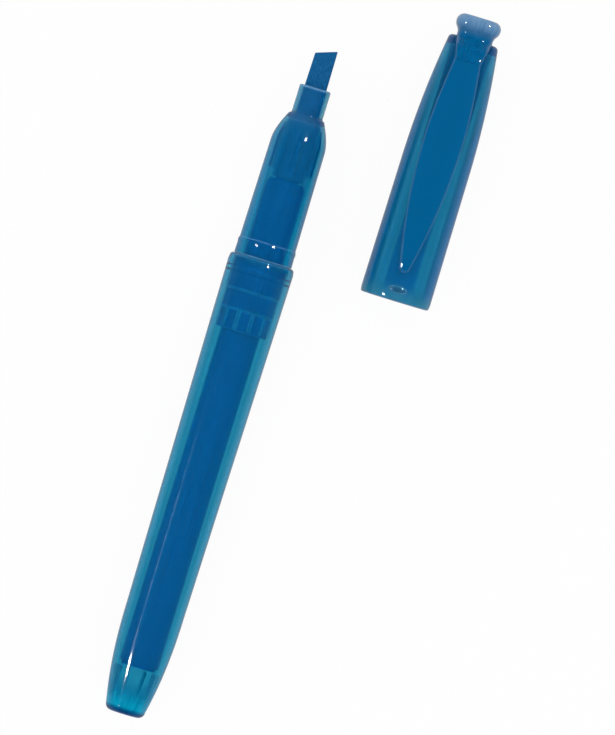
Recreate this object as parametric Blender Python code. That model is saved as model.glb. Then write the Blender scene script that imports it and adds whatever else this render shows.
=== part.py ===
"""A chisel-tip highlighter lying beside its pulled-off cap, at its real size (metres, +Z up).

The pen lies along +Y with its nib forward, and the cap lies to its right with the clip on top.
Stations are distances along a piece's own axis: the pen's start at its tail end, the cap's at its mouth.
"""

import math

import bmesh
import bpy
from mathutils import Matrix, Vector

MM = 0.001

# Fits
CLEARANCE = 0.3 * MM  # between pieces that seat on each other
SEAL_CLEARANCE = 0.1 * MM  # between the neck and the sleeve that seals it
WRITING_FIT = 0.1 * MM  # between the nib's corners and the bore that guides it

# Ink reservoir
RESERVOIR_RADIUS = 3.7 * MM  # over its film
FILM_WALL = 0.2 * MM
FILM_SETBACK = 0.6 * MM  # bare fibre at each end

# Barrel
BARREL_LENGTH = 86.2 * MM
BARREL_WALL = 0.9 * MM
BARREL_AIR = 0.52 * MM  # spare room round the reservoir where the tail begins
RIM_ROUND = 0.4 * MM
TAIL_LENGTH = 20.0 * MM
TAIL_END_RADIUS = 3.72 * MM
TAIL_CORNER = 1.3 * MM
TAIL_FLOOR = 2.0 * MM
TAIL_POWER = 2.3  # power of the tail's curve
TAIL_RIB_COUNT = 8
TAIL_RIB_THICKNESS = 0.35 * MM
TAIL_RIB_BORE = 2.7 * MM

# Nose section
PLUG_WALL = 0.95 * MM
PLUG_LENGTH = 13.7 * MM
PLUG_STEP_SETBACK = 6.3 * MM  # from the barrel's rim back to the plug's first step
PLUG_RIBBED_LENGTH = 3.8 * MM
PLUG_STEP = 0.15 * MM
PLUG_TAIL_STEP = 0.45 * MM
PLUG_RIB_COUNT = 12
PLUG_RIB_HEIGHT = 0.25 * MM
PLUG_RIB_THICKNESS = 0.45 * MM
BEAD_SETBACK = 2.7 * MM
BEAD_WIDTH = 1.2 * MM
BEAD_HEIGHT = 0.2 * MM
NOSE_LENGTH = 22.0 * MM  # barrel's rim to the start of the shoulder
NOSE_WALL = 1.1 * MM
NOSE_DRAFT = 0.18 * MM
COLLAR_LENGTH = 2.8 * MM
COLLAR_STEP = 0.17 * MM
SHOULDER_LENGTH = 5.3 * MM
SHOULDER_STEP = 0.4 * MM  # the shoulder's end stands this far proud of the neck
SHOULDER_POWER = 1.55
NECK_LENGTH = 5.5 * MM
NECK_WALL = 0.44 * MM
NECK_ROUND = 0.3 * MM
NIB_TUBE_LENGTH = 12.0 * MM
NIB_TUBE_WALL = 0.5 * MM
NOSE_FIN_COUNT = 6
NOSE_FIN_THICKNESS = 0.4 * MM
NOSE_FIN_SETBACK = 1.5 * MM

# Nib
NIB_WIDTH = 4.1 * MM
NIB_THICKNESS = 2.4 * MM
NIB_REACH = 7.5 * MM  # beyond the neck, at its longer corner
NIB_SLANT = 1.4 * MM
NIB_EDGE = 1.1 * MM  # thickness left at the writing edge
NIB_TAPER = 0.2 * MM  # width lost between the neck and the writing edge
NIB_TAIL_LENGTH = 5.0 * MM
NIB_TAIL_SHARE = 0.5  # the tail's end against the shank
NIB_BEVEL = 0.12 * MM

# Cap
CAP_WALL = 0.78 * MM
CAP_END_WALL = 1.8 * MM
CAP_CORNER = 0.8 * MM
CAP_WAIST = 25.0 * MM  # station where the body starts to close in
CAP_DRAFT = 0.13 * MM
CAP_HEADROOM = 7.4 * MM  # free depth beyond the nib when the cap is on
MOUTH_ROUND = 0.25 * MM
SLEEVE_WALL = 0.75 * MM
SLEEVE_LEAD = 1.9 * MM  # the neck's base stays this far out of the sleeve
SLEEVE_CHAMFER = 0.3 * MM

# Clip and flared head
CLIP_RISE = 1.0 * MM  # clip's underside above the cap's mouth radius
CLIP_THICKNESS = 1.25 * MM
CLIP_WIDTH = 7.2 * MM
CLIP_BELLY = 30.5 * MM  # station of the clip's widest point
CLIP_ROOT_WIDTH = 4.8 * MM
CLIP_ROOT_SETBACK = 4.2 * MM  # from the cap's closed end back to the crease where the clip bends
CLIP_TIP_WIDTH = 2.0 * MM
CLIP_TIP_STATION = 5.3 * MM
CLIP_NUB_LENGTH = 4.0 * MM
HEAD_NECK_WIDTH = 6.7 * MM
HEAD_NECK_LENGTH = 0.5 * MM  # from the cap's closed end to the start of the flare
HEAD_NECK_TOP = 6.5 * MM  # heights above and below the cap's axis
HEAD_NECK_BASE = 2.6 * MM
HEAD_FILLET = 1.6 * MM  # radii along the flare: outwards, round to the widest place, and in again
HEAD_LIP = 1.9 * MM
HEAD_RIM = 1.385 * MM
HEAD_FLARE_ANGLE = math.radians(40)
HEAD_CLOSE_ANGLE = math.radians(75)
PAD_LENGTH = 3.45 * MM
PAD_WIDTH = 1.35 * MM
PAD_HEIGHT = 0.3 * MM
PAD_STATION = 2.1 * MM

# Layout
CAP_SPACING = 25.0 * MM  # pen axis to cap axis

# Facets
SEGMENT_COUNT = 36
CURVE_COUNT = 7
ARC_COUNT = 3
CLIP_COUNT = 16
CLIP_TIP_COUNT = 3
OVAL_COUNT = 24
PLATE_COUNT = 16
OVAL_POWER = 3.5
PLATE_POWER = 4.0
PAD_COUNT = 12
WELD = 0.001 * MM
SHARP_ANGLE = math.radians(40)

# Stations along the pen
BEAD_STATION = BARREL_LENGTH - BEAD_SETBACK
PLUG_END = BARREL_LENGTH - PLUG_LENGTH
PLUG_RIBBED_END = PLUG_END + PLUG_RIBBED_LENGTH
PLUG_STEP_STATION = BARREL_LENGTH - PLUG_STEP_SETBACK
COLLAR_SEAT = BARREL_LENGTH + CLEARANCE
COLLAR_END = COLLAR_SEAT + COLLAR_LENGTH
SHOULDER_START = BARREL_LENGTH + NOSE_LENGTH
NECK_START = SHOULDER_START + SHOULDER_LENGTH
NECK_END = NECK_START + NECK_LENGTH
NIB_END = NECK_END + NIB_REACH
NIB_TUBE_END = NECK_START - NIB_TUBE_LENGTH
CORE_FRONT = NIB_TUBE_END - CLEARANCE

# Radii, each worked out from what it holds
FILM_BORE = RESERVOIR_RADIUS - FILM_WALL
CORE_RADIUS = FILM_BORE - CLEARANCE
NOSE_BORE = RESERVOIR_RADIUS + CLEARANCE
BARREL_BORE = NOSE_BORE + PLUG_WALL + CLEARANCE
BARREL_RADIUS = BARREL_BORE + BARREL_WALL
TAIL_RADIUS = RESERVOIR_RADIUS + CLEARANCE + BARREL_AIR + BARREL_WALL
NOSE_RADIUS = NOSE_BORE + NOSE_WALL
COLLAR_RADIUS = NOSE_RADIUS + NOSE_DRAFT + COLLAR_STEP
NIB_BORE = math.hypot(NIB_WIDTH, NIB_THICKNESS) / 2 + WRITING_FIT
NIB_TUBE_RADIUS = NIB_BORE + NIB_TUBE_WALL
NECK_RADIUS = NIB_BORE + NECK_WALL
SHOULDER_END_RADIUS = NECK_RADIUS + SHOULDER_STEP
SLEEVE_BORE = NECK_RADIUS + SEAL_CLEARANCE
SLEEVE_RADIUS = SLEEVE_BORE + SLEEVE_WALL
CAP_RADIUS = COLLAR_RADIUS + CLEARANCE + CAP_WALL
CAP_WAIST_RADIUS = CAP_RADIUS - CAP_DRAFT
CAP_END_RADIUS = SLEEVE_RADIUS + CLEARANCE + CAP_WALL

# Stations along the cap
CAP_DEPTH = NIB_END - BARREL_LENGTH + CAP_HEADROOM
CAP_LENGTH = CAP_DEPTH + CAP_END_WALL
SLEEVE_START = NECK_START - BARREL_LENGTH + SLEEVE_LEAD
SLEEVE_END = CAP_DEPTH - CLEARANCE
CLIP_CREASE = CAP_LENGTH - CLIP_ROOT_SETBACK
CLIP_BASE = CAP_RADIUS + CLIP_RISE
CLIP_TOP = CLIP_BASE + CLIP_THICKNESS


def arc(center, radius, start, end, steps=ARC_COUNT):
    """Points on a circle in an outline's plane, from one angle to another (0 along +station)."""
    angles = [start + (end - start) * step / steps for step in range(steps + 1)]
    return [(center[0] + radius * math.cos(a), center[1] + radius * math.sin(a)) for a in angles]


def spread(start, end, steps=CURVE_COUNT):
    """Evenly spaced stations, both ends included."""
    return [start + (end - start) * step / steps for step in range(steps + 1)]


def barrel_skin(station):
    """The barrel's outer radius: a straight taper, then a tail that closes in ever faster."""
    if station >= TAIL_LENGTH:
        share = (station - TAIL_LENGTH) / (BARREL_LENGTH - TAIL_LENGTH)
        return TAIL_RADIUS + (BARREL_RADIUS - TAIL_RADIUS) * share
    share = (TAIL_LENGTH - station) / (TAIL_LENGTH - TAIL_CORNER)
    return TAIL_RADIUS - (TAIL_RADIUS - TAIL_END_RADIUS) * share**TAIL_POWER


def barrel_bore(station):
    """The barrel's inner radius."""
    return barrel_skin(station) - BARREL_WALL


def reservoir_seat():
    """The station where the tail's bore has closed in on the reservoir."""
    share = (BARREL_AIR / (TAIL_RADIUS - TAIL_END_RADIUS)) ** (1 / TAIL_POWER)
    return TAIL_LENGTH - (TAIL_LENGTH - TAIL_CORNER) * share


def nose_skin(station):
    """The nose's outer radius: a slight draft, then a rounded shoulder down to the neck."""
    if station <= SHOULDER_START:
        return NOSE_RADIUS + NOSE_DRAFT * (SHOULDER_START - station) / (SHOULDER_START - COLLAR_END)
    share = (station - SHOULDER_START) / SHOULDER_LENGTH
    return NOSE_RADIUS - (NOSE_RADIUS - SHOULDER_END_RADIUS) * share**SHOULDER_POWER


def chamber_front():
    """The station where the nose's inner wall meets the clearance round the nib tube."""
    room = NOSE_BORE - NIB_TUBE_RADIUS - CLEARANCE
    share = (room / (NOSE_RADIUS - SHOULDER_END_RADIUS)) ** (1 / SHOULDER_POWER)
    return SHOULDER_START + SHOULDER_LENGTH * min(share, 1.0)


def plug_skin(station):
    """The plug's outer radius, a clearance inside the barrel's bore, before its steps."""
    return barrel_bore(station) - CLEARANCE


def cap_skin(station):
    """The cap's outer radius: a slight draft to the waist, then a curve that closes in on the sleeve."""
    if station <= CAP_WAIST:
        return CAP_RADIUS - CAP_DRAFT * station / CAP_WAIST
    share = (station - CAP_WAIST) / (CAP_DEPTH - CAP_WAIST)
    return CAP_WAIST_RADIUS - (CAP_WAIST_RADIUS - CAP_END_RADIUS) * share**2


def clip_half_width(station):
    """Half the clip's width: it swells from the root to the belly, then narrows to the tip."""
    belly, root, tip = CLIP_WIDTH / 2, CLIP_ROOT_WIDTH / 2, CLIP_TIP_WIDTH / 2
    if station >= CLIP_BELLY:
        share = (CLIP_CREASE - station) / (CLIP_CREASE - CLIP_BELLY)
        return root + (belly - root) * math.sin(math.pi / 2 * share)
    share = (CLIP_BELLY - station) / (CLIP_BELLY - CLIP_TIP_STATION - tip)
    return belly - (belly - tip) * share**2


def turned(outline):
    """Spin an outline of (station, radius) points round the Y axis.

    An outline that starts off the axis is closed on itself, and one that starts on it ends on it.
    """
    bm = bmesh.new()
    verts = [bm.verts.new((radius, station, 0)) for station, radius in outline]
    edges = [bm.edges.new(pair) for pair in zip(verts, verts[1:])]
    if outline[0][1] > 0:
        edges.append(bm.edges.new((verts[-1], verts[0])))
    bmesh.ops.spin(
        bm,
        geom=verts + edges,
        cent=(0, 0, 0),
        axis=(0, 1, 0),
        angle=2 * math.pi,
        steps=SEGMENT_COUNT,
        use_merge=True,
    )
    bmesh.ops.remove_doubles(bm, verts=bm.verts[:], dist=WELD)
    return bm


def lofted(rings):
    """Skin rings of points, equal in number, and close both ends."""
    bm = bmesh.new()
    loops = [[bm.verts.new(point) for point in ring] for ring in rings]
    for near, far in zip(loops, loops[1:]):
        sides = zip(near, near[1:] + near[:1], far[1:] + far[:1], far)
        for side in sides:
            bm.faces.new(side)
    bm.faces.new(loops[0])
    bm.faces.new(loops[-1])
    return bm


def radial_ribs(outline, thickness, count):
    """Flat ribs round the Y axis, each an outline of (station, radius) points given a thickness."""
    bm = bmesh.new()
    for index in range(count):
        turn = Matrix.Rotation(2 * math.pi * (index + 0.5) / count, 4, "Y")
        sides = [
            [bm.verts.new(turn @ Vector((radius, station, side))) for station, radius in outline]
            for side in (-thickness / 2, thickness / 2)
        ]
        for near, far in zip(zip(*sides), zip(*(side[1:] + side[:1] for side in sides))):
            bm.faces.new((near[0], near[1], far[1], far[0]))
        for side in sides:
            bm.faces.new(side)
    return bm


def oval(station, half_width, base, top, squareness, points):
    """A rounded box section square to the cap's axis, between two heights above that axis."""
    middle, half_height = (top + base) / 2, (top - base) / 2
    ring = []
    for index in range(points):
        angle = 2 * math.pi * (index + 0.5) / points
        across, up = math.cos(angle), math.sin(angle)
        x = half_width * math.copysign(abs(across) ** (2 / squareness), across)
        z = middle + half_height * math.copysign(abs(up) ** (2 / squareness), up)
        ring.append((x, station, z))
    return ring


def add_piece(name, bm, material, parent):
    """Turn a bmesh into a named object that hangs on its axis empty."""
    bmesh.ops.recalc_face_normals(bm, faces=bm.faces[:])
    mesh = bpy.data.meshes.new(name)
    bm.to_mesh(mesh)
    bm.free()
    mesh.shade_smooth()
    mesh.set_sharp_from_angle(angle=SHARP_ANGLE)
    mesh.materials.append(material)
    piece = bpy.data.objects.new(name, mesh)
    bpy.context.collection.objects.link(piece)
    piece.parent = parent
    return piece


def fuse(piece, name, bm):
    """Join a shape to a piece with a Boolean union."""
    helper = add_piece(name, bm, piece.active_material, piece.parent)
    helper.hide_render = True
    helper.display_type = "WIRE"
    union = piece.modifiers.new(name, "BOOLEAN")
    union.operation = "UNION"
    union.solver = "EXACT"
    union.object = helper


def add_axis(name, x, y, z, parent=None):
    """An empty that carries the pieces of one body."""
    axis = bpy.data.objects.new(name, None)
    bpy.context.collection.objects.link(axis)
    axis.location = (x, y, z)
    axis.parent = parent
    return axis


def finish(name, colour, roughness, transmission=0.0):
    """A Principled material."""
    material = bpy.data.materials.new(name)
    material.use_nodes = True
    shader = material.node_tree.nodes["Principled BSDF"]
    shader.inputs["Base Color"].default_value = (*colour, 1)
    shader.inputs["Roughness"].default_value = roughness
    shader.inputs["Metallic"].default_value = 0
    shader.inputs["Transmission Weight"].default_value = transmission
    return material


def bead_outline():
    """Offsets of the snap bead, and of its groove, from the wall: (station, lift) from front to back."""
    shape = ((1, 0), (0.5, 1), (-0.5, 1), (-1, 0))
    return [(BEAD_STATION + side * BEAD_WIDTH / 2, lift * BEAD_HEIGHT) for side, lift in shape]


def barrel(pen):
    """The tapered tube with a closed tail, a groove for the nose's bead and ribs in the tail."""
    rim = (BARREL_LENGTH - RIM_ROUND, barrel_skin(BARREL_LENGTH - RIM_ROUND) - RIM_ROUND)
    outline = [(0, 0)]
    outline += arc((TAIL_CORNER, TAIL_END_RADIUS - TAIL_CORNER), TAIL_CORNER, math.pi, math.pi / 2)
    outline += [(s, barrel_skin(s)) for s in spread(TAIL_CORNER, TAIL_LENGTH)[1:]]
    outline += arc(rim, RIM_ROUND, math.pi / 2, 0)
    outline += [(BARREL_LENGTH, BARREL_BORE)]
    outline += [(s, barrel_bore(s) + lift) for s, lift in bead_outline()]
    outline += [(s, barrel_bore(s)) for s in spread(TAIL_LENGTH, TAIL_FLOOR)]
    outline += [(TAIL_FLOOR, 0)]
    material = finish("barrel_blue", (0.01, 0.23, 0.42), 0.08, 0.8)
    piece = add_piece("barrel", turned(outline), material, pen)
    back, front = TAIL_FLOOR - BARREL_WALL / 2, reservoir_seat() - CLEARANCE
    rib = [(s, barrel_skin(s) - BARREL_WALL / 2) for s in spread(back, front)]
    rib += [(front, TAIL_RIB_BORE), (back, TAIL_RIB_BORE)]
    fuse(piece, "tail_ribs", radial_ribs(rib, TAIL_RIB_THICKNESS, TAIL_RIB_COUNT))


def nose_section(pen):
    """The writing end in one moulding: ribbed plug, collar, body, shoulder, neck and nib tube."""
    front = chamber_front()
    tail_radius = plug_skin(PLUG_END) - PLUG_TAIL_STEP
    middle_radius = plug_skin(PLUG_STEP_STATION) - PLUG_STEP
    outline = [(PLUG_END, NOSE_BORE), (PLUG_END, tail_radius), (PLUG_RIBBED_END, tail_radius)]
    outline += [(PLUG_RIBBED_END, middle_radius), (PLUG_STEP_STATION, middle_radius)]
    outline += [(PLUG_STEP_STATION, plug_skin(PLUG_STEP_STATION))]
    outline += [(s, plug_skin(s) + lift) for s, lift in reversed(bead_outline())]
    outline += [(COLLAR_SEAT, plug_skin(BARREL_LENGTH)), (COLLAR_SEAT, COLLAR_RADIUS)]
    outline += [(COLLAR_END, COLLAR_RADIUS), (COLLAR_END, nose_skin(COLLAR_END))]
    outline += [(s, nose_skin(s)) for s in spread(SHOULDER_START, NECK_START)]
    fillet = (NECK_START + SHOULDER_STEP, SHOULDER_END_RADIUS)
    outline += arc(fillet, SHOULDER_STEP, math.pi, math.pi * 1.5)[1:]
    outline += arc((NECK_END - NECK_ROUND, NECK_RADIUS - NECK_ROUND), NECK_ROUND, math.pi / 2, 0)
    outline += [(NECK_END, NIB_BORE), (NIB_TUBE_END, NIB_BORE)]
    outline += [(NIB_TUBE_END, NIB_TUBE_RADIUS), (front, NIB_TUBE_RADIUS)]
    outline += [(s, nose_skin(s) - NOSE_WALL) for s in spread(front, SHOULDER_START, ARC_COUNT)]
    material = finish("nose_blue", (0.01, 0.25, 0.4), 0.1, 0.8)
    piece = add_piece("nose_section", turned(outline), material, pen)
    back, ahead = NIB_TUBE_END + NOSE_FIN_SETBACK, front + CLEARANCE
    fin = [(s, nose_skin(s) - NOSE_WALL / 2) for s in spread(back, ahead)]
    fin += [(ahead, NIB_BORE + NIB_TUBE_WALL / 2), (back, NIB_BORE + NIB_TUBE_WALL / 2)]
    fuse(piece, "nose_fins", radial_ribs(fin, NOSE_FIN_THICKNESS, NOSE_FIN_COUNT))
    foot, crest = (tail_radius + NOSE_BORE) / 2, tail_radius + PLUG_RIB_HEIGHT
    rib = [(PLUG_END + CLEARANCE, foot), (PLUG_END + CLEARANCE, crest)]
    rib += [(PLUG_RIBBED_END + CLEARANCE, crest), (PLUG_RIBBED_END + CLEARANCE, foot)]
    fuse(piece, "plug_ribs", radial_ribs(rib, PLUG_RIB_THICKNESS, PLUG_RIB_COUNT))


def nib(pen):
    """The felt chisel: a tail in the reservoir, a flat shank and a wedge cut off at a slant."""
    width, thickness = NIB_WIDTH / 2, NIB_THICKNESS / 2
    tip_width, tip_thickness = width - NIB_TAPER / 2, NIB_EDGE / 2
    sections = [
        (CORE_FRONT - NIB_TAIL_LENGTH, 0, width * NIB_TAIL_SHARE, thickness * NIB_TAIL_SHARE),
        (NIB_TUBE_END, 0, width, thickness),
        (NECK_END, 0, width, thickness),
        (NIB_END, NIB_SLANT, tip_width, tip_thickness),
    ]
    rings = [
        [(x, station - slant * (x < 0), z) for x, z in ((w, -t), (w, t), (-w, t), (-w, -t))]
        for station, slant, w, t in sections
    ]
    piece = add_piece("nib", lofted(rings), finish("nib_felt", (0.01, 0.13, 0.3), 0.85), pen)
    bevel = piece.modifiers.new("worn_edges", "BEVEL")
    bevel.width = NIB_BEVEL
    bevel.segments = 1


def ink_reservoir(pen):
    """The fibre core, with a socket for the nib's tail."""
    back, socket = reservoir_seat(), CORE_FRONT - NIB_TAIL_LENGTH - CLEARANCE
    outline = [(back, 0), (back, CORE_RADIUS), (CORE_FRONT, CORE_RADIUS)]
    outline += [(CORE_FRONT, NIB_BORE), (socket, NIB_BORE), (socket, 0)]
    add_piece("ink_reservoir", turned(outline), finish("ink_fibre", (0.0, 0.1, 0.26), 0.9), pen)


def reservoir_film(pen):
    """The film tube that wraps the fibre core."""
    back, front = reservoir_seat() + FILM_SETBACK, CORE_FRONT - FILM_SETBACK
    outline = [(back, FILM_BORE), (back, RESERVOIR_RADIUS), (front, RESERVOIR_RADIUS), (front, FILM_BORE)]
    material = finish("wrap_film", (0.02, 0.2, 0.4), 0.15, 0.5)
    add_piece("reservoir_film", turned(outline), material, pen)


def root_section(station):
    """A section of the clip's root: the clip's plate on top, its foot in the middle of the cap's wall."""
    share = (station - CLIP_CREASE) / (CAP_LENGTH - CLIP_CREASE)
    half_width = (CLIP_ROOT_WIDTH + (HEAD_NECK_WIDTH - CLIP_ROOT_WIDTH) * share) / 2
    top = CLIP_TOP + (HEAD_NECK_TOP - CLIP_TOP) * share
    base = top - CLIP_THICKNESS
    foot = cap_skin(station) - CAP_WALL / 2
    plate = oval(station, half_width, base, top, PLATE_POWER, PLATE_COUNT)
    return [(x, y, z if z > (top + base) / 2 else math.sqrt(foot**2 - x**2)) for x, y, z in plate]


def head_sections():
    """Sections of the cap's flared head: a neck, a fillet, a lip and a round rim that closes in."""
    turn, close = HEAD_FLARE_ANGLE, -HEAD_CLOSE_ANGLE
    start = CAP_LENGTH + HEAD_NECK_LENGTH
    widest = start + (HEAD_FILLET + HEAD_LIP) * math.sin(turn)
    flare = (HEAD_FILLET + HEAD_LIP) * (1 - math.cos(turn))
    profile = [(CAP_LENGTH - CAP_END_WALL / 2, 0)]
    profile += [
        (start + HEAD_FILLET * math.sin(a), HEAD_FILLET * (1 - math.cos(a)))
        for a in spread(0, turn, ARC_COUNT)
    ]
    for radius, first, last in ((HEAD_LIP, turn, 0), (HEAD_RIM, 0, close)):
        profile += [
            (widest - radius * math.sin(a), flare - radius * (1 - math.cos(a)))
            for a in spread(first, last, ARC_COUNT + 1)[1:]
        ]
    half_width = HEAD_NECK_WIDTH / 2
    return [
        oval(s, half_width + out, -HEAD_NECK_BASE - out, HEAD_NECK_TOP + out, OVAL_POWER, OVAL_COUNT)
        for s, out in profile
    ]


def oval_pad():
    """The low oval pad in front of the clip's tip, wrapped on the cap's skin."""
    bm = bmesh.new()
    bmesh.ops.create_uvsphere(bm, u_segments=PAD_COUNT, v_segments=PAD_COUNT // 2, radius=1)
    skin = cap_skin(PAD_STATION)
    for vert in bm.verts:
        turn = vert.co.x * PAD_LENGTH / 2 / skin
        height = skin + vert.co.z * PAD_HEIGHT
        station = PAD_STATION + vert.co.y * PAD_WIDTH / 2
        vert.co = (height * math.sin(turn), station, height * math.cos(turn))
    return bm


def cap_shell(cap):
    """The cap's body with its closed end, the clip's root, the flared head and the oval pad."""
    end = CAP_LENGTH - CAP_CORNER
    mouth = (MOUTH_ROUND, cap_skin(MOUTH_ROUND) - MOUTH_ROUND)
    outline = [(CAP_LENGTH, 0)]
    outline += arc((end, cap_skin(end) - CAP_CORNER), CAP_CORNER, 0, math.pi / 2)
    outline += [(s, cap_skin(s)) for s in spread(end, CAP_WAIST)[1:]]
    outline += arc(mouth, MOUTH_ROUND, math.pi / 2, math.pi)
    outline += [(0, CAP_RADIUS - CAP_WALL)]
    outline += [(s, cap_skin(s) - CAP_WALL) for s in spread(CAP_WAIST, CAP_DEPTH)]
    outline += [(CAP_DEPTH, 0)]
    material = finish("cap_blue", (0.02, 0.24, 0.42), 0.08, 0.8)
    piece = add_piece("cap_shell", turned(outline), material, cap)
    root = spread(CLIP_CREASE + CLEARANCE / 2, CAP_LENGTH - CAP_CORNER / 2, ARC_COUNT)
    fuse(piece, "clip_root", lofted([root_section(s) for s in root]))
    fuse(piece, "flared_head", lofted(head_sections()))
    fuse(piece, "oval_pad", oval_pad())


def inner_seal_sleeve(cap):
    """The sleeve in the cap that closes over the neck and keeps the nib from drying."""
    outline = [(SLEEVE_START, SLEEVE_BORE + SLEEVE_CHAMFER), (SLEEVE_START, SLEEVE_RADIUS)]
    outline += [(SLEEVE_END, SLEEVE_RADIUS), (SLEEVE_END, SLEEVE_BORE)]
    outline += [(SLEEVE_START + SLEEVE_CHAMFER, SLEEVE_BORE)]
    material = finish("sleeve_blue", (0.01, 0.18, 0.36), 0.15, 0.6)
    add_piece("inner_seal_sleeve", turned(outline), material, cap)


def clip_section(station, half_width):
    """A section of the clip: a flat plate that thickens into a nub over the cap near its tip."""
    share = (station - CLIP_TIP_STATION) / CLIP_NUB_LENGTH
    nub = (CLIP_RISE - CLEARANCE) * math.sin(math.pi * min(share, 1))
    return oval(station, half_width, CLIP_BASE - nub, CLIP_TOP, PLATE_POWER, PLATE_COUNT)


def clip_arm(clip):
    """The leaf-shaped clip, from the crease at its root to its round tip."""
    round_tip = CLIP_TIP_WIDTH / 2
    stations = spread(CLIP_CREASE - CLEARANCE / 2, CLIP_TIP_STATION + round_tip, CLIP_COUNT)
    sections = [clip_section(s, clip_half_width(s)) for s in stations]
    for angle in spread(0, HEAD_CLOSE_ANGLE, CLIP_TIP_COUNT)[1:]:
        station = CLIP_TIP_STATION + round_tip * (1 - math.sin(angle))
        sections.append(clip_section(station, round_tip * math.cos(angle)))
    bm = lofted(sections)
    bmesh.ops.translate(bm, verts=bm.verts[:], vec=-clip.location)
    add_piece("clip_arm", bm, finish("clip_blue", (0.01, 0.2, 0.4), 0.08, 0.8), clip)


def build():
    """Clear the scene, lay the pen and the cap side by side round the origin and model every piece."""
    for old in list(bpy.data.objects):
        bpy.data.objects.remove(old)
    head_end = max(section[0][1] for section in head_sections())
    middle_x = (CAP_SPACING + CAP_RADIUS - BARREL_RADIUS) / 2
    middle_y = (BARREL_LENGTH + head_end) / 2
    pen = add_axis("pen_axis", -middle_x, -middle_y, BARREL_RADIUS)
    cap = add_axis("cap_axis", CAP_SPACING - middle_x, BARREL_LENGTH - middle_y, CAP_RADIUS)
    clip = add_axis("clip_hinge", 0, CLIP_CREASE, CLIP_TOP - CLIP_THICKNESS / 2, cap)
    barrel(pen)
    nose_section(pen)
    nib(pen)
    ink_reservoir(pen)
    reservoir_film(pen)
    cap_shell(cap)
    inner_seal_sleeve(cap)
    clip_arm(clip)


build()
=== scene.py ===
"""Looks of a clear blue highlighter and its pulled-off cap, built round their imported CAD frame.

Stations are distances along a piece's own axis: the pen's start at its tail end, the cap's at its mouth.
Angles round an axis start straight up and turn towards +X.
"""

import logging
import math
from abc import ABC, abstractmethod
from dataclasses import dataclass
from enum import Enum
from typing import Callable

import bpy
import numpy as np
from mathutils import Matrix, Vector


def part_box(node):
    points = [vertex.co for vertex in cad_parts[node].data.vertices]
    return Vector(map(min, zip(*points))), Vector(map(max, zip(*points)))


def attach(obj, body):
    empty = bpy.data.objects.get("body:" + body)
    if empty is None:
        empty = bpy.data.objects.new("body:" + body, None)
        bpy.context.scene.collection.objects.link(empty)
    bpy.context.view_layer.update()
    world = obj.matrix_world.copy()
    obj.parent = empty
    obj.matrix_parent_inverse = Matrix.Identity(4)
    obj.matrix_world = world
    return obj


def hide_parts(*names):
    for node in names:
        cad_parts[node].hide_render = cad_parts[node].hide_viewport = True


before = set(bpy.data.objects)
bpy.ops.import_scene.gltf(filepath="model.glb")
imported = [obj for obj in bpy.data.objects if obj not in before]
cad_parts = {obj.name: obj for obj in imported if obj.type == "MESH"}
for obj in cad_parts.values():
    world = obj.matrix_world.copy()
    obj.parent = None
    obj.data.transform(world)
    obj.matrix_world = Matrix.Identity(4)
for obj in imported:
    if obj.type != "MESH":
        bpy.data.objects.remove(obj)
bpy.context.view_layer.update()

MM = 0.001
COLUMNS = 192  # points round a turned piece
PLATE_COLUMNS = 160  # points round a section of a lofted piece
ROWS = 40  # points along a long curve
TURN_ROWS = 14  # points along a curve that turns
ARC_ROWS = 7  # points along a rim's arc
SMOOTH_ARC_ROWS = 12  # points along an arc that gathers no light
CORNER_ROWS = 6  # points along a softened corner
CUT_SHARE = 0.48  # most of a side that a softened corner takes
CORNER_TURNS = (12.0, 22.0)  # degrees between rows from which a corner gets a painted highlight, and gets it fully
SMOOTH_TURN = math.radians(8)  # an outline that turns less than this needs no softening
POLE = 0.02 * MM  # radius of a ring that a lid closes
TINY = 1e-12  # keeps a length from being 0
JUMP = 0.05 * MM  # length along an axis in which ribs start
SHARP_ANGLE = math.radians(50)
BEAD = np.array([[-0.5, 0], [-0.25, 1], [0.25, 1], [0.5, 0]])  # its corners, in shares of width and height
NOISE_RANGE = (0.3, 0.7)  # where most values of a noise lie
WHITE = (1, 1, 1, 1)
# name of the mesh weights for the painted highlight on edges
PAINTED_HIGHLIGHT = "rim"

Colour = tuple[float, float, float]
Point = tuple[float, float, float]
Span = tuple[float, float]
Curve = Callable[[np.ndarray], np.ndarray]
Socket = bpy.types.NodeSocket
Piece = bpy.types.Object
log = logging.getLogger("highlighter")


class Ends(Enum):
    """How the first and the last ring of a skin are closed."""

    JOINED = "to each other"
    CAPPED = "each with a lid"


class Body(Enum):
    """The bodies of the frame that pieces ride on."""

    PEN = "pen"
    CAP = "cap"
    CLIP = "clip"


@dataclass(frozen=True)
class Axis:
    """A level axis along +Y, which stations are measured on.

    Args:
        x: Its place across.
        y: The place of station 0.
        z: Its height.
    """

    x: float
    y: float
    z: float

    def turned(self, stations: np.ndarray, radii: np.ndarray) -> np.ndarray:
        """Rings of points: each at its radius from the axis, at angles that go evenly round."""
        angles = round_angles(radii.shape[1])
        return self.place(radii * np.sin(angles), stations[:, None], radii * np.cos(angles))

    def place(self, across: np.ndarray, along: np.ndarray, up: np.ndarray) -> np.ndarray:
        """Points measured across, along and up from the axis, as points in the frame."""
        parts = np.broadcast_arrays(self.x + across, self.y + along, self.z + up)
        return np.stack(parts, axis=-1)

    def span(self, start: float, end: float) -> Span:
        """Two stations, as places along y."""
        return self.y + start, self.y + end


def round_angles(columns: int) -> np.ndarray:
    """Even angles once round an axis, in radians from 0."""
    return np.linspace(0, 2 * np.pi, columns, endpoint=False)


def part(value: np.ndarray, start: float, end: float) -> np.ndarray:
    """How far a value has come from a start to an end, kept from 0 to 1."""
    return np.clip((value - start) / (end - start), 0, 1)


def at(curve: Curve, station: float) -> float:
    """The radius of a curve at one station."""
    return curve(np.array([station]))[0]


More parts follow.
